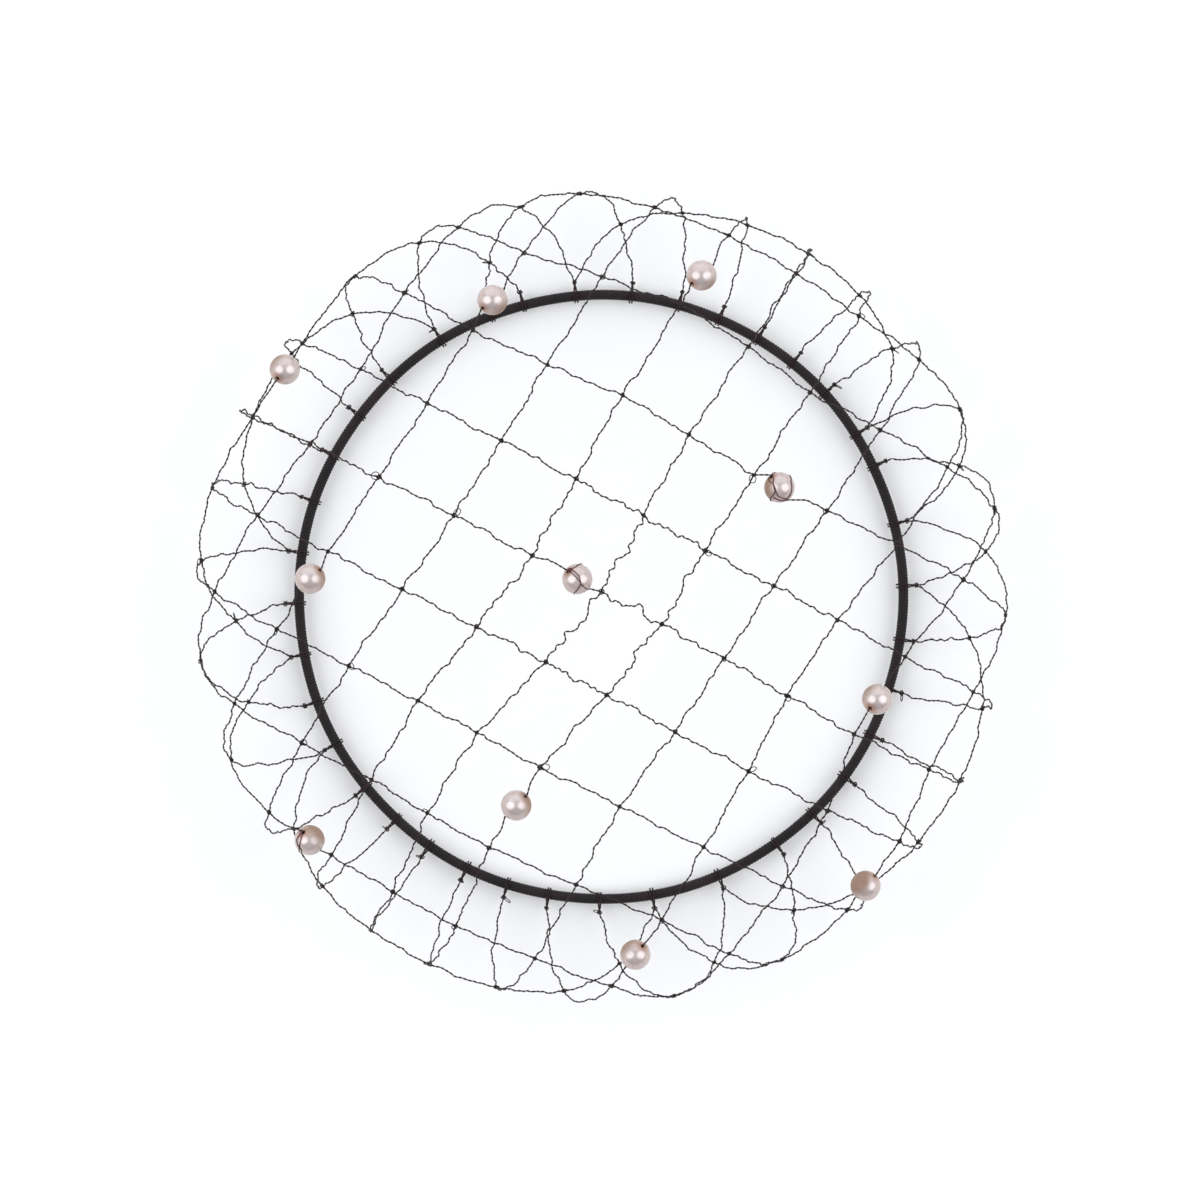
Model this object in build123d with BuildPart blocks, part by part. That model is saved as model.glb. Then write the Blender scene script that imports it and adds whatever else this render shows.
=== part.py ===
from build123d import *
import math
import os

os.makedirs("parts", exist_ok=True)

# A hair bun net in its worn form: an open knotted net over a domed bun, with small pearls
# strung on it and a round elastic in its edge.
# The origin is the middle of the open underside, on the face that lies against the head.
# +Z points out along the middle of the bun, and all sizes are in millimetres.

# Form of the dome, as its profile from the crown to the edge
widest_radius = 53.4
widest_height = 18.0
crown_radius = 14.0
crown_height = 40.3
crown_dip = 1.3
under_reach = 20.0

# Elastic, and the net's edge loops that hold it
elastic_radius = 40.0
elastic_thickness = 1.4
loop_wire = 0.9
loop_clearance = 0.2
edge_knot_size = 2.0
edge_slope = 20.0

# Net, lying flat: its meshes stand on a corner, with threads that climb and threads that fall
# to the right, and the net is knotted as a disc
mesh_climb = (6.17, 9.5)
mesh_fall = (8.78, -4.59)
flat_radius = 69.0
snap_share = 0.3
middle_knot = (-1.74, 1.65)
thread_thickness = 1.3
thread_sides = 5
thread_sunk = 0.3
knot_size = 2.2
knot_height = 1.7
knot_sides = 6
loop_sides = 8
pull_reach = 20.0

# Pearls, drilled and strung on the threads
pearl_size = 4.0
pearl_hole = 1.6

# Each pearl's place seen from above, the knot beside it, counted in meshes along the climbing and
# the falling threads, the way from that knot to the next one, and the pearl's share of that way
pearls = [
    # x, y, climb, fall, step of climb, step of fall, share
    (13.4, 42.6, 3, -1, 1, 0, 0.42),
    (-14.3, 38.9, 2, -3, 1, 0, 0.39),
    (-41.6, 29.9, 1, -5, -1, 0, 0.35),
    (23.3, 14.3, 2, 1, 0, 1, 0.35),
    (-38.1, 2.4, -1, -3, -1, 0, 0.35),
    (-3.0, 2.3, 0, 0, 0, -1, 0.35),
    (36.0, -13.4, 0, 4, 1, 0, 0.45),
    (-11.3, -27.2, -2, 1, -1, 0, 0.47),
    (-38.4, -32.0, -4, -1, 0, -1, 0.35),
    (35.0, -38.1, -2, 5, 1, 0, 0.35),
    (4.6, -47.3, -4, 3, 1, 0, 0.47),
]

# Each edge loop stands round the elastic, and its knot sits outwards and a little above it
loop_radius = elastic_thickness / 2 + loop_clearance + loop_wire / 2
elastic_height = loop_radius + loop_wire / 2
edge_knot_reach = elastic_thickness / 2 + loop_clearance + edge_knot_size / 2
edge_radius = elastic_radius + edge_knot_reach * math.cos(math.radians(edge_slope))
edge_height = elastic_height + edge_knot_reach * math.sin(math.radians(edge_slope))

# The under part is an ellipse from the widest part in to the edge knots
under_middle = widest_radius - under_reach
edge_turn = math.degrees(math.acos((edge_radius - under_middle) / under_reach))
under_depth = (widest_height - edge_height) / math.sin(math.radians(edge_turn))
shoulder_reach = widest_radius - crown_radius
shoulder_rise = crown_height - widest_height

with BuildLine(Plane.XZ) as profile:
    Spline(
        (0, crown_height - crown_dip),
        (crown_radius, crown_height),
        tangents=[(1, 0), (1, 0)],
    )
    EllipticalCenterArc(
        (crown_radius, widest_height), shoulder_reach, shoulder_rise, start_angle=90, arc_size=-90
    )
    EllipticalCenterArc(
        (under_middle, widest_height), under_reach, under_depth, start_angle=0, arc_size=-edge_turn
    )

dome_middle = Vector(0, 0, widest_height / 2)
meridian = profile.wire()
meridian_length = meridian.length
slack = (meridian_length - flat_radius) / meridian_length**2


def flat_distance(length):
    # The net is stretched along the bun, most near its edge, where it is gathered
    return length - slack * length**2


def length_along(distance):
    return (1 - math.sqrt(max(0, 1 - 4 * slack * distance))) / (2 * slack)


def on_dome(place):
    """Gives the point on the dome for a place on the flat net."""
    distance = math.hypot(*place)
    if distance == 0:
        return meridian @ 0
    point = meridian @ min(1, length_along(min(distance, flat_radius)) / meridian_length)
    return Vector(point.X * place[0] / distance, point.X * place[1] / distance, point.Z)


def flat_place(x, y):
    """Gives the place on the flat net for a point of the crown seen from above."""
    radius = math.hypot(x, y)
    low, high = 0, 1
    while high - low > 1e-6:
        middle = (low + high) / 2
        point = meridian @ middle
        # Below the widest part the dome turns back in, so that stretch counts as beyond
        beyond = point.X > radius or point.Z < widest_height
        low, high = (low, middle) if beyond else (middle, high)
    scale = flat_distance(low * meridian_length) / radius
    return x * scale, y * scale


def even_place(climb, fall):
    """Gives a place on the even net by its meshes, which may be fractions."""
    return (
        middle_knot[0] + climb * mesh_climb[0] + fall * mesh_fall[0],
        middle_knot[1] + climb * mesh_climb[1] + fall * mesh_fall[1],
    )


# How far each pearl pulls the even net aside
pulls = []
for x, y, climb, fall, step_climb, step_fall, share in pearls:
    even = even_place(climb + share * step_climb, fall + share * step_fall)
    true = flat_place(x, y)
    pulls.append((even, true[0] - even[0], true[1] - even[1]))


def pulled_place(climb, fall):
    """Gives a knot's place on the flat net, drawn along with the pearls that lie near it."""
    x, y = even_place(climb, fall)
    pull_x, pull_y, weights = 0, 0, pull_reach**-3
    for even, move_x, move_y in pulls:
        weight = max(math.dist((x, y), even), 1e-6) ** -3
        pull_x += weight * move_x
        pull_y += weight * move_y
        weights += weight
    return x + pull_x / weights, y + pull_y / weights


# Knots stand free inside the edge, and those close to it are drawn onto it
mesh_side = math.hypot(*mesh_climb)
snap = snap_share * mesh_side
most = round(flat_radius / mesh_side) + 3
free_knots = {}
edge_knots = {}
outer_knots = {}
for climb in range(-most, most + 1):
    for fall in range(-most, most + 1):
        place = pulled_place(climb, fall)
        distance = math.hypot(*place)
        if distance < flat_radius - snap:
            free_knots[climb, fall] = place
        elif distance <= flat_radius + snap:
            scale = flat_radius / distance
            edge_knots[climb, fall] = (place[0] * scale, place[1] * scale)
        else:
            outer_knots[climb, fall] = place


def edge_crossing(inner, outer):
    """Gives the place where the thread between two places meets the edge."""
    step = (outer[0] - inner[0], outer[1] - inner[1])
    square = step[0] ** 2 + step[1] ** 2
    along = inner[0] * step[0] + inner[1] * step[1]
    left = flat_radius**2 - inner[0] ** 2 - inner[1] ** 2
    share = (math.sqrt(along**2 + square * left) - along) / square
    return inner[0] + share * step[0], inner[1] + share * step[1]


# Each thread runs from a free knot to the next knot, or to where it meets the edge
threads = []
edge_places = []
for (climb, fall), place in free_knots.items():
    for step_climb, step_fall in ((1, 0), (-1, 0), (0, 1), (0, -1)):
        beside = (climb + step_climb, fall + step_fall)
        if beside in free_knots:
            if step_climb + step_fall > 0:
                threads.append((place, free_knots[beside]))
            continue
        if beside in edge_knots:
            end = edge_knots[beside]
        else:
            end = edge_crossing(place, outer_knots[beside])
        threads.append((place, end))
        if end not in edge_places:
            edge_places.append(end)


def thread_piece(start, end):
    """Makes one straight thread from a free knot to another knot, its ends inside the knots."""
    way = (end - start).normalized()
    begin = start + way * thread_sunk
    across = way.cross(start - dome_middle)
    with BuildPart(mode=Mode.PRIVATE) as piece:
        with BuildSketch(Plane(origin=begin, x_dir=across, z_dir=way)):
            RegularPolygon(thread_thickness / 2, thread_sides)
        extrude(amount=(end - begin).length - thread_sunk)
    return piece.part


def knot_piece(centre, size, outwards):
    """Makes one knot, a flat lump lying on the dome."""
    with BuildPart(mode=Mode.PRIVATE) as piece:
        with BuildSketch(Plane(origin=centre, z_dir=outwards)):
            RegularPolygon(size / 2, knot_sides)
        extrude(amount=knot_height / 2, both=True)
    return piece.part


def loop_piece(knot):
    """Makes the loop below one edge knot, round the elastic."""
    outwards = Vector(knot.X, knot.Y, 0).normalized()
    centre = outwards * elastic_radius + Vector(0, 0, elastic_height)
    along = outwards.cross(Vector(0, 0, 1))
    inner_radius = (loop_radius - loop_wire / 2) / math.cos(math.pi / loop_sides)
    with BuildPart(mode=Mode.PRIVATE) as piece:
        with BuildSketch(Plane(origin=centre, x_dir=knot - centre, z_dir=along)):
            RegularPolygon(loop_radius + loop_wire / 2, loop_sides)
            RegularPolygon(inner_radius, loop_sides, mode=Mode.SUBTRACT)
        extrude(amount=loop_wire / 2, both=True)
    return piece.part


net_pieces = [thread_piece(on_dome(start), on_dome(end)) for start, end in threads]
for place in free_knots.values():
    knot = on_dome(place)
    net_pieces.append(knot_piece(knot, knot_size, knot - dome_middle))
for place in edge_places:
    knot = on_dome(place)
    net_pieces += [knot_piece(knot, edge_knot_size, Vector(0, 0, 1)), loop_piece(knot)]

with BuildPart() as net:
    add(net_pieces)

net.part.label = "net"
export_step(net.part, "parts/net.step")

with BuildPart() as edge_elastic:
    with BuildSketch(Plane.XZ):
        with Locations((elastic_radius, elastic_height)):
            Circle(elastic_thickness / 2)
    revolve(axis=Axis.Z)

edge_elastic.part.label = "edge_elastic"
export_step(edge_elastic.part, "parts/edge_elastic.step")

for number, (_, _, climb, fall, step_climb, step_fall, share) in enumerate(pearls, start=1):
    knot = on_dome(free_knots[climb, fall])
    beside_place = (climb + step_climb, fall + step_fall)
    beside = on_dome(free_knots.get(beside_place) or edge_knots[beside_place])
    centre = knot + (beside - knot) * share
    with BuildPart(Plane(origin=centre, z_dir=beside - knot)) as pearl:
        Sphere(pearl_size / 2)
        Hole(pearl_hole / 2)
    pearl.part.label = f"pearl_{number:02d}"
    export_step(pearl.part, f"parts/pearl_{number:02d}.step")
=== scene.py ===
import math
import random

import bpy
import numpy as np
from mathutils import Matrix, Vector


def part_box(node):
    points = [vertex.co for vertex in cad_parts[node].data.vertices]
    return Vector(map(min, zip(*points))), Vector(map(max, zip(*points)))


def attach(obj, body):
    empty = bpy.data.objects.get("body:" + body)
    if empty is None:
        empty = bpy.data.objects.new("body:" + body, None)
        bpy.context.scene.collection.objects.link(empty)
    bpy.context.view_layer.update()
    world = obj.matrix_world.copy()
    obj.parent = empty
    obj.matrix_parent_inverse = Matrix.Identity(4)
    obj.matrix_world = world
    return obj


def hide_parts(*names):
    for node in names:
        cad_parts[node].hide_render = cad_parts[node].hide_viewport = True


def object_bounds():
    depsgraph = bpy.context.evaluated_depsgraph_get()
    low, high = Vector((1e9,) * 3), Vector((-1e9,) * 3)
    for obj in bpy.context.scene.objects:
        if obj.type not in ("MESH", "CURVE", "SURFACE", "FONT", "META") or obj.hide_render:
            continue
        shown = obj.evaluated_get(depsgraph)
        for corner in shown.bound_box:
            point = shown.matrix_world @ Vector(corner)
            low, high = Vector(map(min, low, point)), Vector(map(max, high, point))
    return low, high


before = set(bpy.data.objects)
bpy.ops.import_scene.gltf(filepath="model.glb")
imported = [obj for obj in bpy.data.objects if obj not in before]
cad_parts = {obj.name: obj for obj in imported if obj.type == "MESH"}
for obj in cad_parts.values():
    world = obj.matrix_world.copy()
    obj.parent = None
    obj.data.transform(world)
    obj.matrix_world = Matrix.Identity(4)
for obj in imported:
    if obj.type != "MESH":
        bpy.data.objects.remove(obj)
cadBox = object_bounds()
mm = 0.001
print("frame loaded,", len(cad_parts), "nodes")

# Camera straight above the middle of the net, as in the photo
cameraSettings = {
    "photoWidth": 1200,         # pixels
    "photoMiddle": (601, 597),  # pixel over the middle of the net
    "pixel": 0.131,             # mm at the pearls
    "pearlHeight": 34,          # mm, the plane that the pixel size holds for
    "distance": 3000,           # mm, far off, because the photo shows hardly any perspective
    "sensor": 36,               # mm
    "clipEnd": 100,             # m
}


def makeCamera(settings):
    half = settings["photoWidth"] / 2
    across, down = settings["photoMiddle"]
    data = bpy.data.cameras.new("photoCamera")
    data.sensor_width = settings["sensor"]
    reach = settings["distance"] - settings["pearlHeight"]
    data.lens = settings["sensor"] * reach / (settings["photoWidth"] * settings["pixel"])
    data.clip_end = settings["clipEnd"]
    camera = bpy.data.objects.new("photoCamera", data)
    camera.location = Vector((
        (half - across) * settings["pixel"], (down - half) * settings["pixel"], settings["distance"],
    )) * mm
    bpy.context.scene.collection.objects.link(camera)
    bpy.context.scene.camera = camera


makeCamera(cameraSettings)

# Two oval soft boxes, one each side, leave the pair of soft highlights on every pearl,
# and a broad one beyond the top of the picture lights each pearl's upper side
lightSettings = {
    "boxes": [
        # name, degrees from straight above, heading from image right, then distance, width and
        # height in metres, and power in watts
        ("boxLeft", 45, 180, 5.0, 5.2, 6.4, 211),
        ("boxRight", 45, 0, 5.0, 5.2, 6.4, 211),
        ("boxAbove", 62, 90, 6.5, 17.0, 7.0, 310),
    ],
    "boxColour": (0.90, 0.945, 1.0),
    "skyHigh": (0.13, 0.131, 0.134, 1),
    "skyLow": (0.90, 0.91, 0.93, 1),
    "skyFade": 0.3,  # height share where the pale horizon has faded
}


def makeLights(settings):
    for name, turn, heading, distance, width, height, power in settings["boxes"]:
        data = bpy.data.lights.new(name, "AREA")
        data.shape = "ELLIPSE"
        data.size = width
        data.size_y = height
        data.energy = power
        data.color = settings["boxColour"]
        box = bpy.data.objects.new(name, data)
        turn, heading = math.radians(turn), math.radians(heading)
        flat = math.sin(turn)
        way = Vector((flat * math.cos(heading), flat * math.sin(heading), math.cos(turn)))
        box.location = way * distance
        box.rotation_euler = way.to_track_quat("Z", "Y").to_euler()
        bpy.context.scene.collection.objects.link(box)


makeLights(lightSettings)
print("camera and lights placed")


class Signal:
    # One output of some nodes. Sums on it add Math nodes.
    def __init__(self, nodes, socket):
        self.nodes = nodes
        self.socket = socket

    def calc(self, operation, *values):
        return self.nodes.node("ShaderNodeMath", {"operation": operation}, dict(enumerate(values)))

    def __add__(self, other):
        return self.calc("ADD", self, other)

    def __radd__(self, other):
        return self.calc("ADD", other, self)

    def __sub__(self, other):
        return self.calc("SUBTRACT", self, other)

    def __rsub__(self, other):
        return self.calc("SUBTRACT", other, self)

    def __mul__(self, other):
        return self.calc("MULTIPLY", self, other)

    def __rmul__(self, other):
        return self.calc("MULTIPLY", other, self)


class Nodes:
    # The nodes of a material or a world
    def __init__(self, owner):
        owner.use_nodes = True
        self.tree = owner.node_tree

    def feed(self, socket, value):
        if isinstance(value, Signal):
            self.tree.links.new(value.socket, socket)
        else:
            socket.default_value = value

    def node(self, kind, settings=None, sockets=None, output=0):
        made = self.tree.nodes.new(kind)
        for key, value in (settings or {}).items():
            if key == "stops":
                for element, stop in zip(made.color_ramp.elements, value):
                    element.position, element.color = stop
            else:
                setattr(made, key, value)
        for key, value in (sockets or {}).items():
            self.feed(made.inputs[key], value)
        return Signal(self, made.outputs[output])

    def noise(self, place, scale, detail):
        return self.node("ShaderNodeTexNoise", sockets={"Vector": place, "Scale": scale, "Detail": detail})

    def mix(self, share, first, second, blend="MIX"):
        return self.node(
            "ShaderNodeMix", {"data_type": "RGBA", "blend_type": blend},
            {"Factor": share, 6: first, 7: second}, output=2,
        )

    def stops(self, value, first, last):
        return self.node("ShaderNodeValToRGB", {"stops": (first, last)}, {"Fac": value})

    def soft(self, value, low, high):
        # 0 below low and 1 above high, with soft ends
        return self.node(
            "ShaderNodeMapRange", {"interpolation_type": "SMOOTHSTEP"},
            {"Value": value, "From Min": low, "From Max": high},
        )

    def bump(self, height, strength, depth):
        return self.node(
            "ShaderNodeBump", sockets={"Strength": strength, "Distance": depth, "Height": height},
        )


class Finish(Nodes):
    # One material, with its Principled shader ready
    def __init__(self, name, **values):
        self.material = bpy.data.materials.new(name)
        super().__init__(self.material)
        self.shader = self.tree.nodes["Principled BSDF"]
        for key, value in values.items():
            self.shader.inputs[key.replace("_", " ")].default_value = value

    def wear(self, **inputs):
        for key, value in inputs.items():
            self.feed(self.shader.inputs[key.replace("_", " ")], value)


def makeSky(settings):
    # A pale horizon that fades upwards, so that pearls mirror a darker room above
    world = bpy.data.worlds.new("paleRoom")
    nodes = Nodes(world)
    height = nodes.node("ShaderNodeSeparateXYZ", sockets={
        0: nodes.node("ShaderNodeTexCoord", output="Generated"),
    }, output="Z")
    fade = nodes.soft(height, 0, settings["skyFade"])
    nodes.feed(nodes.tree.nodes["Background"].inputs["Color"], nodes.mix(
        fade, settings["skyLow"], settings["skyHigh"],
    ))
    bpy.context.scene.world = world
    bpy.context.scene.view_settings.view_transform = "Standard"


makeSky(lightSettings)


# Floor: a pale matt sheet under the net
floorSettings = {
    "side": 30,           # m
    "drop": 0.05,         # mm, below the part
    "colour": (0.92, 0.89, 0.865, 1),
    "roughness": 0.85,
    "darkest": 0.985,     # share of the colour where a faint patch is darkest
    "patchRange": 0.03,
    "patchScale": 3,
}


def makeFloor(settings):
    half = settings["side"] / 2
    level = cadBox[0].z - settings["drop"] * mm
    mesh = bpy.data.meshes.new("paleFloor")
    corners = [(-half, -half, level), (half, -half, level), (half, half, level), (-half, half, level)]
    mesh.from_pydata(corners, [], [(0, 1, 2, 3)])
    floor = bpy.data.objects.new("paleFloor", mesh)
    bpy.context.scene.collection.objects.link(floor)
    finish = Finish("paleMatt", Roughness=settings["roughness"])
    place = finish.node("ShaderNodeTexCoord", output="Object")
    patch = finish.noise(place, settings["patchScale"], detail=2)
    tone = settings["darkest"] + settings["patchRange"] * patch
    shade = finish.node("ShaderNodeCombineColor", sockets={0: tone, 1: tone, 2: tone})
    finish.wear(Base_Color=finish.mix(1, settings["colour"], shade, "MULTIPLY"))
    mesh.materials.append(finish.material)


makeFloor(floorSettings)

# The net's form, in mm: the dome's profile, and the net as it is knotted flat
domeSettings = {
    "widestRadius": 53.4,
    "widestHeight": 18.0,
    "crownRadius": 14.0,
    "crownHeight": 40.3,
    "crownDip": 1.3,
    "underReach": 20.0,
    "elasticRadius": 40.0,
    "elasticThickness": 1.4,
    "elasticHeight": 1.8,
    "edgeKnotReach": 1.9,
    "edgeSlope": 20.0,
    "crownSteps": 40,
    "sideSteps": 400,
}

netSettings = {
    "meshClimb": (6.17, 9.5),     # the way from a knot to the next one along a climbing thread
    "meshFall": (8.78, -4.59),    # and along a falling one
    "flatRadius": 69.0,
    "snapShare": 0.3,             # of a mesh, within which a knot is drawn onto the edge
    "spareMeshes": 3,             # counted past the edge on each side
    "middleKnot": (-1.74, 1.65),
    "pullReach": 20.0,            # how far a pearl draws the knots along
}

# Each pearl's place seen from above in mm, the knot beside it, counted in meshes along the
# climbing and the falling threads, the way from that knot to the next one, and how far along
pearlPlaces = [
    # x, y, climb, fall, stepClimb, stepFall, share
    (13.4, 42.6, 3, -1, 1, 0, 0.42),
    (-14.3, 38.9, 2, -3, 1, 0, 0.39),
    (-41.6, 29.9, 1, -5, -1, 0, 0.35),
    (23.3, 14.3, 2, 1, 0, 1, 0.35),
    (-38.1, 2.4, -1, -3, -1, 0, 0.35),
    (-3.0, 2.3, 0, 0, 0, -1, 0.35),
    (36.0, -13.4, 0, 4, 1, 0, 0.45),
    (-11.3, -27.2, -2, 1, -1, 0, 0.47),
    (-38.4, -32.0, -4, -1, 0, -1, 0.35),
    (35.0, -38.1, -2, 5, 1, 0, 0.35),
    (4.6, -47.3, -4, 3, 1, 0, 0.47),
]


def unit(ways):
    return ways / (np.linalg.norm(ways, axis=-1, keepdims=True) + 1e-12)


def ellipse(middle, reaches, first, last, steps):
    turns = np.radians(np.linspace(first, last, steps))[1:]
    return np.stack([middle[0] + reaches[0] * np.cos(turns), middle[1] + reaches[1] * np.sin(turns)], 1)


def domeProfile(s):
    # Radius and height along the dome, from the crown to the edge knots
    slope = math.radians(s["edgeSlope"])
    edgeRadius = s["elasticRadius"] + s["edgeKnotReach"] * math.cos(slope)
    edgeHeight = s["elasticHeight"] + s["edgeKnotReach"] * math.sin(slope)
    underMiddle = s["widestRadius"] - s["underReach"]
    edgeTurn = math.acos((edgeRadius - underMiddle) / s["underReach"])
    underDepth = (s["widestHeight"] - edgeHeight) / math.sin(edgeTurn)
    share = np.linspace(0, 1, s["crownSteps"])
    rise = share * share * (3 - 2 * share)
    crown = np.stack([s["crownRadius"] * share, s["crownHeight"] - s["crownDip"] * (1 - rise)], 1)
    shoulder = ellipse(
        (s["crownRadius"], s["widestHeight"]),
        (s["widestRadius"] - s["crownRadius"], s["crownHeight"] - s["widestHeight"]),
        90, 0, s["sideSteps"],
    )
    under = ellipse(
        (underMiddle, s["widestHeight"]), (s["underReach"], underDepth),
        0, -math.degrees(edgeTurn), s["sideSteps"],
    )
    return np.vstack([crown, shoulder, under])


class Net:
    # Where the knots and threads lie on the dome, in mm
    def __init__(self, dome, net):
        self.net = net
        self.profile = domeProfile(dome)
        runs = np.hypot(*np.diff(self.profile, axis=0).T)
        self.lengths = np.concatenate([[0], np.cumsum(runs)])
        whole = self.lengths[-1]
        self.slack = (whole - net["flatRadius"]) / whole**2
        self.middle = np.array([0, 0, dome["widestHeight"] / 2])
        self.pulls = []
        for x, y, climb, fall, stepClimb, stepFall, share in pearlPlaces:
            even = self.evenPlace(climb + share * stepClimb, fall + share * stepFall)
            self.pulls.append((even, self.flatPlace(x, y) - even))
        self.sortKnots()

    def onDome(self, places):
        # The points on the dome for places on the flat net
        places = np.array(places, float).reshape(-1, 2)
        distance = np.hypot(*places.T)
        inner = np.minimum(distance, self.net["flatRadius"])
        length = (1 - np.sqrt(np.maximum(0, 1 - 4 * self.slack * inner))) / (2 * self.slack)
        radius = np.interp(length, self.lengths, self.profile[:, 0])
        height = np.interp(length, self.lengths, self.profile[:, 1])
        return np.column_stack([places * (radius / np.maximum(distance, 1e-9))[:, None], height])

    def flatPlace(self, x, y):
        # The place on the flat net of a point of the upper half seen from above
        radius = math.hypot(x, y)
        upper = int(np.argmax(self.profile[:, 0])) + 1
        length = np.interp(radius, self.profile[:upper, 0], self.lengths[:upper])
        return np.array([x, y]) * ((length - self.slack * length**2) / radius)

    def evenPlace(self, climb, fall):
        net = self.net
        return (
            np.array(net["middleKnot"]) + climb * np.array(net["meshClimb"])
            + fall * np.array(net["meshFall"])
        )

    def pulledPlace(self, climb, fall):
        # The even place, drawn along with the pearls that lie near it
        place = self.evenPlace(climb, fall)
        pull, weights = np.zeros(2), self.net["pullReach"] ** -3
        for even, move in self.pulls:
            weight = max(np.linalg.norm(place - even), 1e-6) ** -3
            pull += weight * move
            weights += weight
        return place + pull / weights

    def sortKnots(self):
        edge = self.net["flatRadius"]
        side = math.hypot(*self.net["meshClimb"])
        snap = self.net["snapShare"] * side
        most = round(edge / side) + self.net["spareMeshes"]
        self.free, self.onEdge, outer = {}, {}, {}
        for climb in range(-most, most + 1):
            for fall in range(-most, most + 1):
                place = self.pulledPlace(climb, fall)
                distance = np.linalg.norm(place)
                if distance < edge - snap:
                    self.free[climb, fall] = place
                elif distance <= edge + snap:
                    self.onEdge[climb, fall] = place * (edge / distance)
                else:
                    outer[climb, fall] = place
        self.threads, ends = [], {}
        for knot, place in self.free.items():
            for step in ((1, 0), (-1, 0), (0, 1), (0, -1)):
                beside = (knot[0] + step[0], knot[1] + step[1])
                if beside in self.free:
                    if sum(step) > 0:
                        self.threads.append((knot, beside, place, self.free[beside]))
                    continue
                if beside in self.onEdge:
                    end, key = self.onEdge[beside], beside
                else:
                    end, key = self.crossing(place, outer[beside]), (knot, beside)
                self.threads.append((knot, beside, place, end))
                ends[key] = end
        self.edgePlaces = list(ends.values())

    def crossing(self, inner, outer):
        # Where the thread between two places meets the edge
        step = outer - inner
        along = inner @ step
        left = self.net["flatRadius"] ** 2 - inner @ inner
        return inner + step * ((math.sqrt(along**2 + step @ step * left) - along) / (step @ step))


bunNet = Net(domeSettings, netSettings)
print("net laid out:", len(bunNet.free), "knots,", len(bunNet.threads), "threads")


def lengthsAlong(points):
    return np.concatenate([[0], np.cumsum(np.linalg.norm(np.diff(points, axis=0), axis=1))])


def resample(points, step):
    # Even steps along the line
    along = lengthsAlong(points)
    where = np.linspace(0, along[-1], max(3, round(along[-1] / step) + 1))
    return np.stack([np.interp(where, along, points[:, axis]) for axis in range(3)], 1)


def smoothLine(points, each=8):
    # A smooth curve through the points
    padded = np.vstack([2 * points[0] - points[1], points, 2 * points[-1] - points[-2]])
    t = np.linspace(0, 1, each, endpoint=False)[:, None]
    line = []
    for a, b, c, d in zip(padded, padded[1:], padded[2:], padded[3:]):
        bend, twist = 2 * a - 5 * b + 4 * c - d, 3 * b - a - 3 * c + d
        line.append(0.5 * (2 * b + (c - a) * t + bend * t**2 + twist * t**3))
    return np.vstack(line + [points[-1]])


class ThreadMesh:
    # Gathers round strands, all joined into one mesh
    def __init__(self):
        self.points, self.faces, self.count = [], [], 0

    def strand(self, line, radius, sides, outwards=None, closed=False):
        if closed:
            ways = unit(np.roll(line, -1, axis=0) - np.roll(line, 1, axis=0))
        else:
            ways = unit(np.gradient(line, axis=0))
        if outwards is None:
            outwards = self.carried(ways)
        across = unit(np.cross(ways, outwards))
        up = np.cross(across, ways)
        turns = 2 * np.pi * np.arange(sides) / sides
        ring = line[:, None] + radius * (
            np.cos(turns)[None, :, None] * across[:, None] + np.sin(turns)[None, :, None] * up[:, None]
        )
        self.skin(ring, closed)

    def carried(self, ways):
        # Carries one direction along the line without twist, from any direction across it
        out = [unit(np.cross(ways[0], (0.3, 0.5, 0.8)))]
        for way in ways[1:]:
            out.append(unit(out[-1] - way * np.dot(out[-1], way)))
        return np.array(out)

    def skin(self, rings, closed):
        rows, sides = rings.shape[:2]
        grid = self.count + np.arange(rows * sides).reshape(rows, sides)
        here = grid if closed else grid[:-1]
        ahead = np.roll(grid, -1, axis=0) if closed else grid[1:]
        quads = np.stack([here, np.roll(here, -1, axis=1), np.roll(ahead, -1, axis=1), ahead], -1)
        self.points.append(rings.reshape(-1, 3))
        self.faces += quads.reshape(-1, 4).tolist()
        if not closed:
            self.faces += [grid[0][::-1].tolist(), grid[-1].tolist()]
        self.count += rows * sides

    def plied(self, line, outwards, ply, phase):
        # Two fine strands laid round each other
        across = unit(np.cross(unit(np.gradient(line, axis=0)), outwards))
        up = np.cross(across, unit(np.gradient(line, axis=0)))
        turn = phase + 2 * np.pi * lengthsAlong(line) / ply["lay"]
        for half in (0, np.pi):
            offset = np.cos(turn + half)[:, None] * across + np.sin(turn + half)[:, None] * up
            self.strand(line + ply["apart"] / 2 * offset, ply["strand"] / 2, ply["sides"], up)

    def object(self, name, finish):
        mesh = bpy.data.meshes.new(name)
        mesh.from_pydata((np.vstack(self.points) * mm).tolist(), [], self.faces)
        mesh.polygons.foreach_set("use_smooth", [True] * len(mesh.polygons))
        mesh.materials.append(finish)
        made = bpy.data.objects.new(name, mesh)
        bpy.context.scene.collection.objects.link(made)
        print(name, "has", len(mesh.polygons), "faces")
        return made


def fit(made, node):
    # The piece rides on the part, in the place of its CAD node
    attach(made, "root")
    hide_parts(node)


# Beads: how they are drilled, and where on each the hole shows
pearlSettings = {
    "radius": 2.0,              # mm
    "holeRadius": 0.28,         # mm
    "rimRound": 0.14,           # mm
    "around": 56,
    "along": 34,
    "holeMiddle": 0.6,          # share of the hole's depth at which its inner ring lies
    "rimTurns": (30, 60),       # degrees, the rows that round the hole's rim
    "uneven": 0.010,            # share of the radius
    "core": 0.6,                # share of the radius that stays even
    "swells": 4,
    "swellPace": (1.2, 2.4),
}

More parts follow.
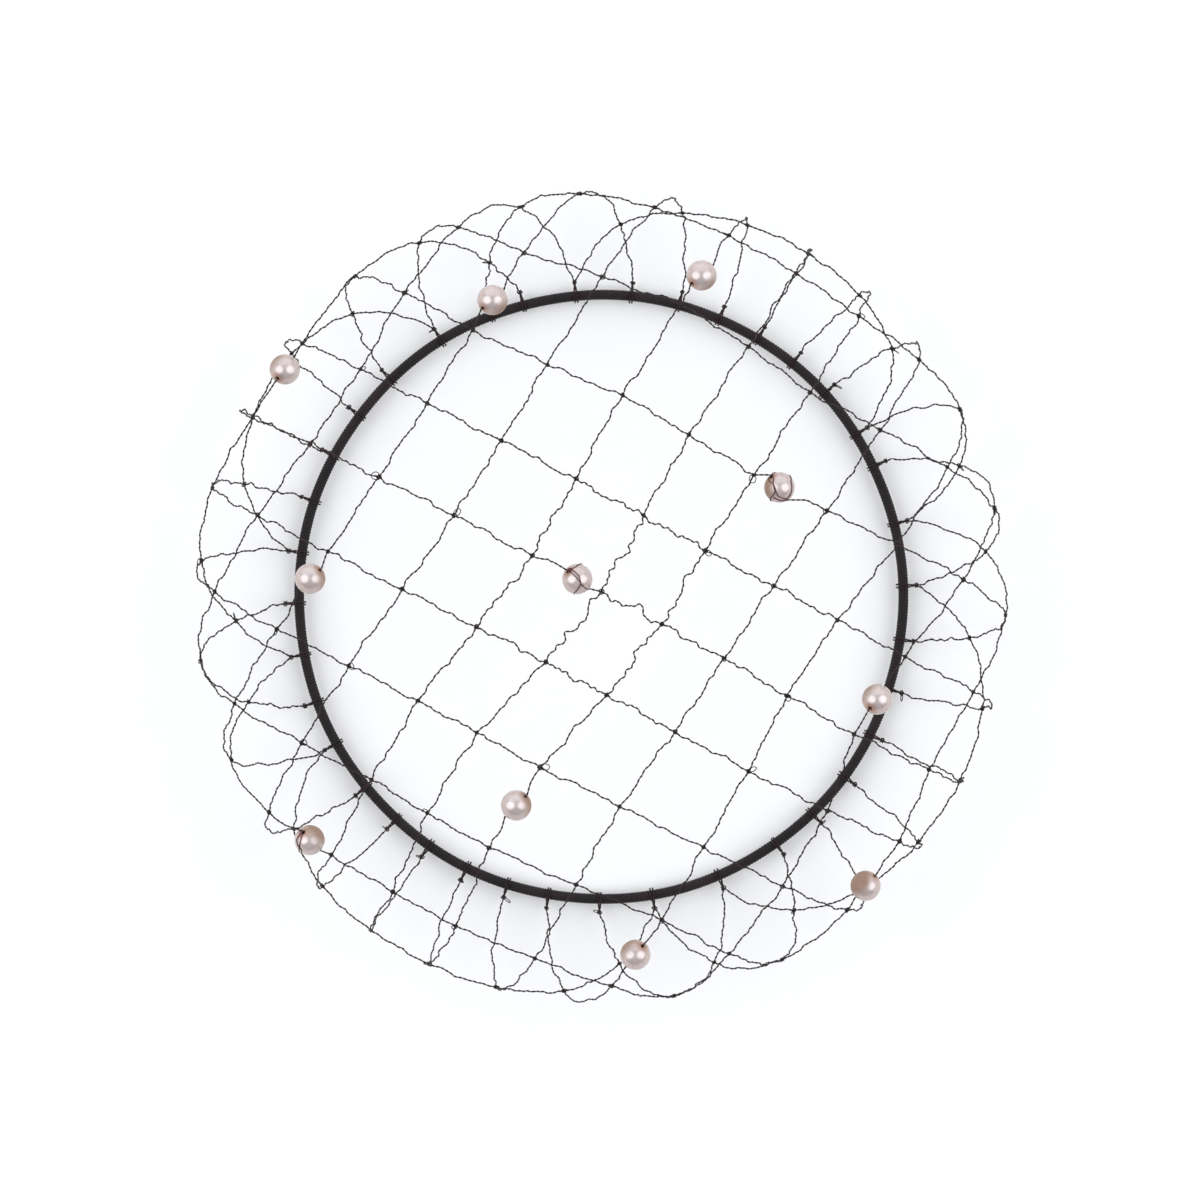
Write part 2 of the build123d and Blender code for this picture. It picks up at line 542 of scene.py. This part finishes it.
# For each pearl the end of the hole that shows: its heading from image right, and its rise, in
# degrees
pearlHoles = [
    (220, 30),
    (221, 30),
    (232, 38),
    (128, 24),
    (42, 26),
    (140, 33),
    (231, 38),
    (44, 28),
    (129, 46),
    (48, 22),
    (51, 37),
]


def strungPearls():
    # The middle of each pearl, read from the frame, and the way its hole points
    found = {}
    rows = zip(pearlPlaces, pearlHoles)
    for number, ((_, _, climb, fall, stepClimb, stepFall, _), (heading, rise)) in enumerate(rows, start=1):
        low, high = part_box(f"pearl_{number:02d}")
        heading, rise = math.radians(heading), math.radians(rise)
        flat = math.cos(rise)
        found[frozenset(((climb, fall), (climb + stepClimb, fall + stepFall)))] = {
            "number": number,
            "centre": np.array((low + high) / 2 / mm),
            "way": np.array([flat * math.cos(heading), flat * math.sin(heading), math.sin(rise)]),
        }
    return found


strungOn = strungPearls()

# Fine dark thread, two strands laid together and crinkled by its knots
threadSettings = {
    "step": 0.2,            # mm
    "samples": 100,         # points of a thread before it is crinkled
    "ply": {"strand": 0.135, "apart": 0.125, "lay": 1.4, "sides": 5},
    "crinkle": 0.17,        # mm to each side
    "middleCrinkle": 0.5,   # mm in the slack net over the dip of the crown
    "middleReach": 17,      # mm
    "waves": ((1, 0.9), (2.3, 0.7), (4.1, 0.5), (7.3, 0.35), (10.9, 0.15)),
    "paceRange": (0.8, 1.25),
    "lift": 0.6,            # of the crinkle, outwards
    "quiet": 1.5,           # mm at each end without crinkle
    "pearlClear": 1.6,      # mm beside a pearl where the thread bends to its hole
    "bendEvery": 4,         # of the thread's points, kept where it bends
    "through": (-1.12, -0.9, 0, 0.9, 1.12),  # pearl radii, points that lead it through the hole
    "dark": (0.009, 0.005, 0.005, 1),
    "light": (0.032, 0.011, 0.011, 1),
    "specular": 0.3,
    "sheen": 0.05,
    "sheenRoughness": 0.4,
    "patchScale": 90,
    "patchShare": 0.7,
    "fibreScale": 2600,
    "fibreShare": 0.3,
    "roughness": 0.42,
    "fibreRoughness": 0.25,
    "bumpStrength": 0.4,
    "bumpDepth": 0.00003,   # m
}


def crinkled(line, outwards, amount, draw):
    # Side steps along a thread, none at its ends
    along = lengthsAlong(line)
    share = along / along[-1]
    calm = np.clip(np.minimum(along, along[-1] - along) / threadSettings["quiet"], 0, 1)
    calm = calm * calm * (3 - 2 * calm)
    across = unit(np.cross(line[-1] - line[0], outwards))
    offsets = np.zeros(line.shape)
    for direction, size in ((across, 1.0), (outwards, threadSettings["lift"])):
        wave = np.zeros(len(line))
        for pace, weight in threadSettings["waves"]:
            pace *= draw.uniform(*threadSettings["paceRange"])
            wave += weight * np.sin(2 * np.pi * (pace * share + draw.random()))
        offsets += (amount * size * calm * wave)[:, None] * direction
    return line + offsets


def threadLine(knot, beside, place, end, seed):
    # One thread from knot to knot, along the dome and through its pearl if it has one
    draw = random.Random(seed)
    share = np.linspace(0, 1, threadSettings["samples"])[:, None]
    line = bunNet.onDome(place + share * (end - place))
    middle = line[len(line) // 2]
    outwards = unit(middle - bunNet.middle)
    nearMiddle = max(0, 1 - math.hypot(*middle[:2]) / threadSettings["middleReach"])
    amount = threadSettings["crinkle"] + nearMiddle * (
        threadSettings["middleCrinkle"] - threadSettings["crinkle"]
    )
    line = crinkled(line, outwards, amount, draw)
    pearl = strungOn.get(frozenset((knot, beside)))
    if pearl is not None:
        line = throughPearl(line, pearl)
    return resample(line, threadSettings["step"]), outwards


def throughPearl(line, pearl):
    # Bends the thread to the pearl's hole and leads it through
    centre, way = pearl["centre"], pearl["way"]
    if way @ (line[-1] - line[0]) < 0:
        way = -way
    radius = pearlSettings["radius"]
    near = np.linalg.norm(line - centre, axis=1) < radius + threadSettings["pearlClear"]
    first, last = np.flatnonzero(near)[[0, -1]]
    reach = np.array(threadSettings["through"])[:, None] * radius
    every = threadSettings["bendEvery"]
    return smoothLine(np.vstack([
        line[:first:every], centre + reach * way, line[last + 1::every], line[-1:],
    ]))


def threadFinish(name, dark, light, settings):
    finish = Finish(
        name, Specular_IOR_Level=settings["specular"],
        Sheen_Weight=settings["sheen"], Sheen_Roughness=settings["sheenRoughness"],
    )
    place = finish.node("ShaderNodeTexCoord", output="Object")
    patch = finish.noise(place, settings["patchScale"], detail=3)
    fibre = finish.noise(place, settings["fibreScale"], detail=2)
    tone = settings["patchShare"] * patch + settings["fibreShare"] * fibre
    finish.wear(
        Base_Color=finish.stops(tone, (0.25, dark), (0.75, light)),
        Roughness=settings["roughness"] + settings["fibreRoughness"] * fibre,
        Normal=finish.bump(fibre, settings["bumpStrength"], settings["bumpDepth"]),
    )
    return finish.material


threadMaterial = threadFinish(
    "darkThread", threadSettings["dark"], threadSettings["light"], threadSettings,
)


def makeThreads():
    rows = {"netThreadsClimbing": ThreadMesh(), "netThreadsFalling": ThreadMesh()}
    for seed, (knot, beside, place, end) in enumerate(bunNet.threads):
        line, outwards = threadLine(knot, beside, place, end, seed)
        name = "netThreadsClimbing" if knot[1] == beside[1] else "netThreadsFalling"
        rows[name].plied(line, np.tile(outwards, (len(line), 1)), threadSettings["ply"], phase=seed)
    for name, mesh in rows.items():
        fit(mesh.object(name, threadMaterial), "net")


makeThreads()

# Knots: a small pulled-tight lump at each crossing, some with a loose bight beside it
knotSettings = {
    "size": 0.3,             # mm from the middle
    "sizeRange": (0.85, 1.2),
    "strand": 0.085,         # mm, half the strand's thickness
    "sides": 6,
    "flat": 0.6,
    "points": 36,
    "bightShare": 0.35,      # of the knots
    "bightSize": 0.6,        # mm
    "bightRange": (0.6, 1.1),
    "bightTilt": (-0.2, 0.4),
    "bightWidth": 0.8,
    "bightStrand": 0.065,    # mm
    "bightSides": 5,
    "bightPoints": 22,
}


def knotLine(size, flat):
    # A trefoil pulled flat
    turns = np.linspace(0, 2 * np.pi, knotSettings["points"], endpoint=False)
    reach = (2 + np.cos(3 * turns)) / 3 * size
    lift = flat * size * np.sin(3 * turns)
    return np.stack([reach * np.cos(2 * turns), reach * np.sin(2 * turns), lift], 1)


def bightLine(radius, tilt):
    turns = np.linspace(0, 2 * np.pi, knotSettings["bightPoints"], endpoint=False)
    away = 1 - np.cos(turns)
    return radius * np.stack([away, knotSettings["bightWidth"] * np.sin(turns), tilt * away], 1)


def localFrame(outwards, turn):
    # Three axes with the last one outwards, the others turned by some angle
    across = unit(np.cross(outwards, (0.31, 0.2, 0.93)))
    down = np.cross(outwards, across)
    cosine, sine = math.cos(turn), math.sin(turn)
    return np.array([cosine * across + sine * down, cosine * down - sine * across, outwards])


def makeKnots(settings):
    draw = random.Random(11)
    mesh = ThreadMesh()
    for place in bunNet.onDome(list(bunNet.free.values()) + bunNet.edgePlaces):
        size = settings["size"] * draw.uniform(*settings["sizeRange"])
        axes = localFrame(unit(place - bunNet.middle), draw.uniform(0, 2 * math.pi))
        knot = place + knotLine(size, settings["flat"]) @ axes
        mesh.strand(knot, settings["strand"], settings["sides"], closed=True)
        if draw.random() < settings["bightShare"]:
            radius = settings["bightSize"] * draw.uniform(*settings["bightRange"])
            bight = place + bightLine(radius, draw.uniform(*settings["bightTilt"])) @ axes
            mesh.strand(bight, settings["bightStrand"], settings["bightSides"], closed=True)
    fit(mesh.object("netKnots", threadMaterial), "net")


makeKnots(knotSettings)

# Edge: each thread ends in two turns of its own thread round the elastic
edgeSettings = {
    "turns": 2,
    "gap": 0.15,       # mm off the elastic
    "spread": 0.34,    # mm from turn to turn
    "uneven": 0.05,    # mm
    "points": 20,
    "smooth": 3,
}


def makeEdgeLoops(settings):
    draw = random.Random(23)
    mesh = ThreadMesh()
    radius = domeSettings["elasticThickness"] / 2 + settings["gap"]
    for knot in bunNet.onDome(bunNet.edgePlaces):
        outwards = unit(knot * (1, 1, 0))
        centre = outwards * domeSettings["elasticRadius"] + (0, 0, domeSettings["elasticHeight"])
        along = np.cross(outwards, (0, 0, 1))
        towards = unit(knot - centre)
        upwards = np.cross(along, towards)
        leave = math.acos(radius / np.linalg.norm(knot - centre))
        for number in range(settings["turns"]):
            shift = (number - (settings["turns"] - 1) / 2) * settings["spread"]
            shift += draw.uniform(-1, 1) * settings["uneven"]
            turns = np.linspace(leave, 2 * np.pi - leave, settings["points"])[:, None]
            around = centre + along * shift + radius * (np.cos(turns) * towards + np.sin(turns) * upwards)
            line = smoothLine(np.vstack([knot, around, knot]), settings["smooth"])
            line = resample(line, threadSettings["step"])
            side = np.tile(along, (len(line), 1))
            mesh.plied(line, side, threadSettings["ply"], phase=draw.uniform(0, 6))
    fit(mesh.object("netEdgeLoops", threadMaterial), "net")


makeEdgeLoops(edgeSettings)

# Elastic: a round cord wound with dark thread
elasticSettings = {
    "wraps": 620,
    "each": 4,             # rows to a wrap
    "sides": 16,
    "ridge": 0.04,         # mm
    "wander": 0.05,        # mm
    "wanders": 9,          # on the whole ring
    "dark": (0.005, 0.004, 0.005, 1),
    "light": (0.022, 0.013, 0.013, 1),
    "specular": 0.25,
    "sheen": 0.06,
    "sheenRoughness": 0.5,
    "patchScale": 140,
    "patchShare": 0.55,
    "fibreScale": 3800,
    "fibreShare": 0.45,
    "roughness": 0.58,
    "fibreRoughness": 0.3,
    "bumpStrength": 0.6,
    "bumpDepth": 0.00004,  # m
}


def elasticFinish(settings):
    finish = Finish(
        "woundElastic", Specular_IOR_Level=settings["specular"],
        Sheen_Weight=settings["sheen"], Sheen_Roughness=settings["sheenRoughness"],
    )
    place = finish.node("ShaderNodeTexCoord", output="Object")
    patch = finish.noise(place, settings["patchScale"], detail=4)
    fibre = finish.noise(place, settings["fibreScale"], detail=3)
    tone = settings["patchShare"] * patch + settings["fibreShare"] * fibre
    finish.wear(
        Base_Color=finish.stops(tone, (0.3, settings["dark"]), (0.7, settings["light"])),
        Roughness=settings["roughness"] + settings["fibreRoughness"] * fibre,
        Normal=finish.bump(fibre, settings["bumpStrength"], settings["bumpDepth"]),
    )
    return finish.material


def makeElastic(settings):
    rows = settings["wraps"] * settings["each"]
    turns = 2 * np.pi * np.arange(rows)[:, None] / rows
    around = 2 * np.pi * np.arange(settings["sides"])[None, :] / settings["sides"]
    wave = np.cos(settings["wraps"] * turns - around)
    radius = domeSettings["elasticThickness"] / 2 + settings["ridge"] * (wave - 1)
    wander = settings["wander"] * np.sin(settings["wanders"] * turns + 1)
    reach = domeSettings["elasticRadius"] + wander + radius * np.cos(around)
    height = domeSettings["elasticHeight"] + radius * np.sin(around)
    mesh = ThreadMesh()
    mesh.skin(np.stack([reach * np.cos(turns), reach * np.sin(turns), height], -1), closed=True)
    fit(mesh.object("elasticCord", elasticFinish(settings)), "edge_elastic")


makeElastic(elasticSettings)


# Pearls: drilled beads with a pinkish pearl coat, stained round the hole, with painted shade on the lower
# side, and a darker, duller side that is real wear on some pearls and painted rim shade on others
pearlLook = {
    "darkBody": (0.57, 0.455, 0.42, 1),
    "lightBody": (0.67, 0.58, 0.57, 1),
    "cloudScale": 260,
    "cloudShare": 0.65,
    "swirlScale": 620,
    "swirlShare": 0.35,
    "metallic": 0.33,
    "ior": 1.5,
    "coatIor": 1.6,
    "coatRoughness": 0.15,
    "coat": 0.85,
    "roughness": 0.24,
    "swirlRoughness": 0.08,
    # The next five values paint shade on each pearl's lower side: a darker taupe towards the side that
    # faces down
    "paintedShadeTint": (0.39, 0.275, 0.205, 1),
    "paintedShadeShare": 0.8,
    "paintedShadeCloud": 0.3,
    "paintedShadeFade": 1.4,      # how late the painted shade on the pearl's lower side begins
    "paintedShadeMost": 0.8,
    "stainTint": (0.38, 0.165, 0.085, 1),
    "stainShare": 0.5,
    "stainSwirl": 0.6,
    "stainReach": 0.58,    # share of the pearl's radius
    "stainFade": 0.55,     # share of that reach
    # The next values darken and dull one side of a pearl: real wear on pearl 10, painted shade along one
    # rim on most others
    "wearAndShadeTint": (0.32, 0.20, 0.14, 1),
    "wearAndShadeSwirl": 0.5,
    "wearAndShadeHold": 0.25,      # how much of the wear and painted rim shade the pearl coat stands before it goes
    "wearAndShadeRange": (0.25, 1.0),
    "wearAndShadeCoat": 0.65,
    "wearAndShadeRoughness": 0.4,
    "wearAndShadeDent": 0.8,
    "reliefScale": 900,
    "bumpStrength": 0.2,
    "bumpDepth": 0.00002,  # m
}


def pearlFinish(look):
    finish = Finish(
        "roseNacre", Metallic=look["metallic"], IOR=look["ior"],
        Coat_Roughness=look["coatRoughness"], Coat_IOR=look["coatIor"],
    )
    place = finish.node("ShaderNodeTexCoord", output="Object")
    cloud = finish.noise(place, look["cloudScale"], detail=3)
    swirl = finish.noise(place, look["swirlScale"], detail=2)
    relief = finish.noise(place, look["reliefScale"], detail=2)
    under, stain, wearAndShade = [
        finish.node("ShaderNodeAttribute", {"attribute_name": name}, output="Fac")
        for name in ("underside", "holeStain", "wornPatch")
    ]
    # Mask of the darker side: real wear on some pearls, painted rim shade on the others
    wearAndShadeMask = finish.soft(wearAndShade + look["wearAndShadeSwirl"] * swirl - look["wearAndShadeHold"], *look["wearAndShadeRange"])
    # Painted shade: the lower side of each pearl is mixed towards a darker taupe
    paintedShadeMix = under * (look["paintedShadeShare"] + look["paintedShadeCloud"] * cloud)
    stainMix = stain * (look["stainShare"] + look["stainSwirl"] * swirl)
    body = finish.stops(
        look["cloudShare"] * cloud + look["swirlShare"] * swirl,
        (0.3, look["darkBody"]), (0.7, look["lightBody"]),
    )
    shaded = finish.mix(paintedShadeMix, body, look["paintedShadeTint"])
    stained = finish.mix(stainMix, shaded, look["stainTint"])
    finish.wear(
        Base_Color=finish.mix(wearAndShadeMask, stained, look["wearAndShadeTint"]),
        Roughness=look["roughness"] + look["swirlRoughness"] * swirl + look["wearAndShadeRoughness"] * wearAndShadeMask,
        Coat_Weight=look["coat"] - look["wearAndShadeCoat"] * wearAndShadeMask,
        Normal=finish.bump(
            relief - look["wearAndShadeDent"] * wearAndShadeMask, look["bumpStrength"], look["bumpDepth"],
        ),
    )
    return finish.material


pearlMaterial = pearlFinish(pearlLook)


def beadSection(settings):
    # Half section of a drilled bead in mm, round from the middle of the hole back to it
    hole, rim, radius = settings["holeRadius"], settings["rimRound"], settings["radius"]
    openTurn = math.asin((hole + rim) / radius)
    lip = radius * math.cos(openTurn)
    points = [(hole, 0), (hole, lip * settings["holeMiddle"]), (hole, lip - rim)]
    for turn in np.radians(settings["rimTurns"]):
        points.append((hole + rim * (1 - math.cos(turn)), lip - rim + rim * math.sin(turn)))
    for turn in np.linspace(openTurn, math.pi / 2, settings["along"] // 2 + 1):
        points.append((radius * math.sin(turn), radius * math.cos(turn)))
    return np.array(points + [(x, -z) for x, z in points[-2:0:-1]])


def uneven(ways, draw, settings):
    # A slow swell over the bead, so that it isn't a perfect ball
    swell = 0
    for _ in range(settings["swells"]):
        axis = np.array([draw.gauss(0, 1) for _ in range(3)])
        pace = draw.uniform(*settings["swellPace"])
        swell = swell + np.cos(ways @ axis * pace + draw.uniform(0, 6)) / settings["swells"]
    return swell[..., None]


def beadRings(number, settings):
    # The bead's points round its hole, with the hole along z
    turns = 2 * np.pi * np.arange(settings["around"]) / settings["around"]
    section = beadSection(settings)
    rings = np.stack([
        section[:, :1] * np.cos(turns), section[:, :1] * np.sin(turns),
        np.repeat(section[:, 1:], settings["around"], axis=1),
    ], -1)
    core = settings["core"] * settings["radius"]
    fromMiddle = np.linalg.norm(rings, axis=-1, keepdims=True)
    outside = np.clip((fromMiddle - core) / (settings["radius"] - core), 0, 1)
    swell = uneven(unit(rings), random.Random(100 + number), settings)
    return rings * (1 + settings["uneven"] * outside * swell)


def markBead(bead, points, back, wearAndShade, look, radius):
    # What the finish reads: the painted shade of the lower side, the stain round the hole, and the darker
    # side that is partly wear and partly painted rim shade
    # Painted shade: how far each point lies towards the pearl's lower side, taken from the world's up
    # direction
    low = np.clip(1 - points @ np.array(back @ Vector((0, 0, 1))) / radius, 0, 1)
    stainReach = look["stainReach"] * radius
    fromHole = np.hypot(points[:, 0], points[:, 1])
    marks = {
        "underside": np.minimum(low ** look["paintedShadeFade"], look["paintedShadeMost"]),
        "holeStain": np.clip((stainReach - fromHole) / (look["stainFade"] * stainReach), 0, 1),
        "wornPatch": np.zeros(len(points)),
    }
    # The darker side: worn on pearl 10, painted shade along one rim on most others
    if wearAndShade:
        side, strength = wearAndShade
        local = np.array(back @ Vector(side).normalized())
        marks["wornPatch"] = np.clip(points @ local / radius * strength, 0, 1)
    for name, values in marks.items():
        layer = bead.data.attributes.new(name, "FLOAT", "POINT")
        layer.data.foreach_set("value", values.astype(np.float32))


def makePearl(pearl, wearAndShade, settings, look):
    number = pearl["number"]
    turn = Vector(pearl["way"]).to_track_quat("Z", "Y")
    rings = beadRings(number, settings)
    mesh = ThreadMesh()
    mesh.skin(rings, closed=True)
    bead = mesh.object(f"pearlBead{number:02d}", pearlMaterial)
    bead.rotation_mode = "QUATERNION"
    bead.rotation_quaternion = turn
    bead.location = Vector(pearl["centre"]) * mm
    markBead(bead, rings.reshape(-1, 3), turn.inverted(), wearAndShade, look, settings["radius"])
    fit(bead, f"pearl_{number:02d}")


wearAndRimShadePearls = {
    # number: the way to the darker, duller side, and how strong it is: a worn patch on pearl 10, painted
    # shade along one rim on most others
    1: ((0.6, -0.75, 0), 0.90),
    2: ((0.6, -0.70, 0), 1.00),
    3: ((-0.75, 0.60, 0), 0.90),
    4: ((-1, 0, 0.1), 1.15),
    5: ((0.95, 0.10, 0.1), 0.95),
    7: ((-0.80, 0.50, 0), 0.90),
    8: ((0.95, 0.20, 0.1), 1.00),
    9: ((0.6, 0.70, 0.3), 1.10),
    10: ((-0.75, 0.50, 0.6), 1.35),
    11: ((-0.65, 0.75, 0.1), 0.95),
}
for pearl in strungOn.values():
    makePearl(pearl, wearAndRimShadePearls.get(pearl["number"]), pearlSettings, pearlLook)
print("pearls strung")

# Loose thread that lies over a pearl, as points seen from above in shares of the pearl's
# radius. A third value marks a point on the far side.
overThreads = {
    6: [
        [
            (-0.66, 0.44), (-0.46, 0.50), (-0.26, 0.31), (-0.07, 0.12), (0.09, -0.04), (0.23, -0.27),
            (0.46, -0.55), (0.70, -0.66),
        ],
        [(-0.50, 0.60), (-0.26, 0.55), (-0.07, 0.37), (0.12, 0.20), (0.17, 0.00), (0.22, -0.25)],
        [(0.21, -0.32), (0.05, -0.63), (-0.19, -0.88), (-0.1, -0.5, -1)],
        [(-0.56, 0.67), (-0.34, 0.66), (-0.11, 0.78), (0.11, 0.94), (0.4, 0.3, -1), (0.5, -0.2, -1)],
        [(-0.70, 0.36), (-0.60, 0.54), (-0.46, 0.58), (-0.40, 0.46), (-0.54, 0.40)],
    ],
    4: [
        [
            (-0.71, 0.54), (-0.59, 0.33), (-0.43, 0.25), (-0.28, -0.08), (-0.22, -0.29), (-0.13, -0.52),
            (0.01, -0.62), (0.24, -0.70), (0.48, -0.74),
        ],
        [
            (-0.43, 0.89), (-0.39, 0.54), (-0.42, 0.27), (-0.30, -0.20), (-0.32, -0.39), (-0.48, -0.56),
            (-0.61, -0.72), (0, -0.5, -1),
        ],
        [
            (-0.1, 0.9, -1), (0.5, 0.8, -1), (0.73, 0.37), (0.79, -0.06), (0.73, -0.37), (0.61, -0.58),
            (0.46, -0.74),
        ],
        [(-0.40, -0.64), (-0.11, -0.78), (0.09, -0.86), (0.46, -0.80)],
    ],
    9: [
        [(-0.48, 0.28), (-0.56, -0.05), (-0.64, -0.38), (-0.50, -0.67), (-0.3, -0.7, -1)],
        [(-0.62, 0.36), (-0.82, 0.03), (-0.78, -0.26), (-0.64, -0.50), (-0.68, -0.68), (-0.2, -0.5, -1)],
    ],
}

overSettings = {
    "thickness": 0.12,  # mm
    "clear": 0.01,      # mm over the pearl
    "sides": 6,
    "smooth": 4,
    "step": 0.15,       # mm
    "endReach": 0.93,   # the ends sink into the hole, or among the other threads
    "joinWithin": 60,   # degrees round the pearl from a line's end to the hole it goes into
    # Painted light: these tones are lighter and redder than the same thread in the net, as it looks where
    # it lies on a bright pearl
    "dark": (0.065, 0.011, 0.015, 1),
    "light": (0.12, 0.024, 0.032, 1),
}


def overWays(points, ends):
    # The ways from the pearl's middle to the thread's points, and on to a hole that is near
    ways = []
    for across, up, *far in points:
        rise = math.sqrt(max(0, 1 - across**2 - up**2))
        ways.append(unit(np.array([across, up, -rise if far else rise])))
    near = math.cos(math.radians(overSettings["joinWithin"]))
    first = [end for end in ends if end @ ways[0] > near]
    last = [end for end in ends if end @ ways[-1] > near]
    return first + ways + last


def overSphere(first, last, steps=6):
    # The short way round a ball from one way to the other
    turn = math.acos(min(1, max(-1, first @ last)))
    shares = np.linspace(0, 1, steps, endpoint=False)[:, None]
    return (np.sin((1 - shares) * turn) * first + np.sin(shares * turn) * last) / max(math.sin(turn), 1e-6)


def makeOverThreads(settings):
    mesh = ThreadMesh()
    radius = pearlSettings["radius"] + settings["thickness"] / 2 + settings["clear"]
    for pearl in strungOn.values():
        ends = (pearl["way"], -pearl["way"])
        for points in overThreads.get(pearl["number"], []):
            ways = overWays(points, ends)
            arcs = [overSphere(a, b) for a, b in zip(ways, ways[1:])]
            line = np.vstack(arcs + [ways[-1]])
            line = np.vstack([line[0] * settings["endReach"], line, line[-1] * settings["endReach"]])
            line = smoothLine(pearl["centre"] + radius * line, settings["smooth"])
            line = resample(line, settings["step"])
            mesh.strand(line, settings["thickness"] / 2, settings["sides"])
    # The same thread as the net's, painted lighter where it lies on the pearls
    pearlLitFinish = threadFinish("pearlLitThread", settings["dark"], settings["light"], threadSettings)
    fit(mesh.object("pearlOverThreads", pearlLitFinish), "net")


makeOverThreads(overSettings)

print("scene ready")
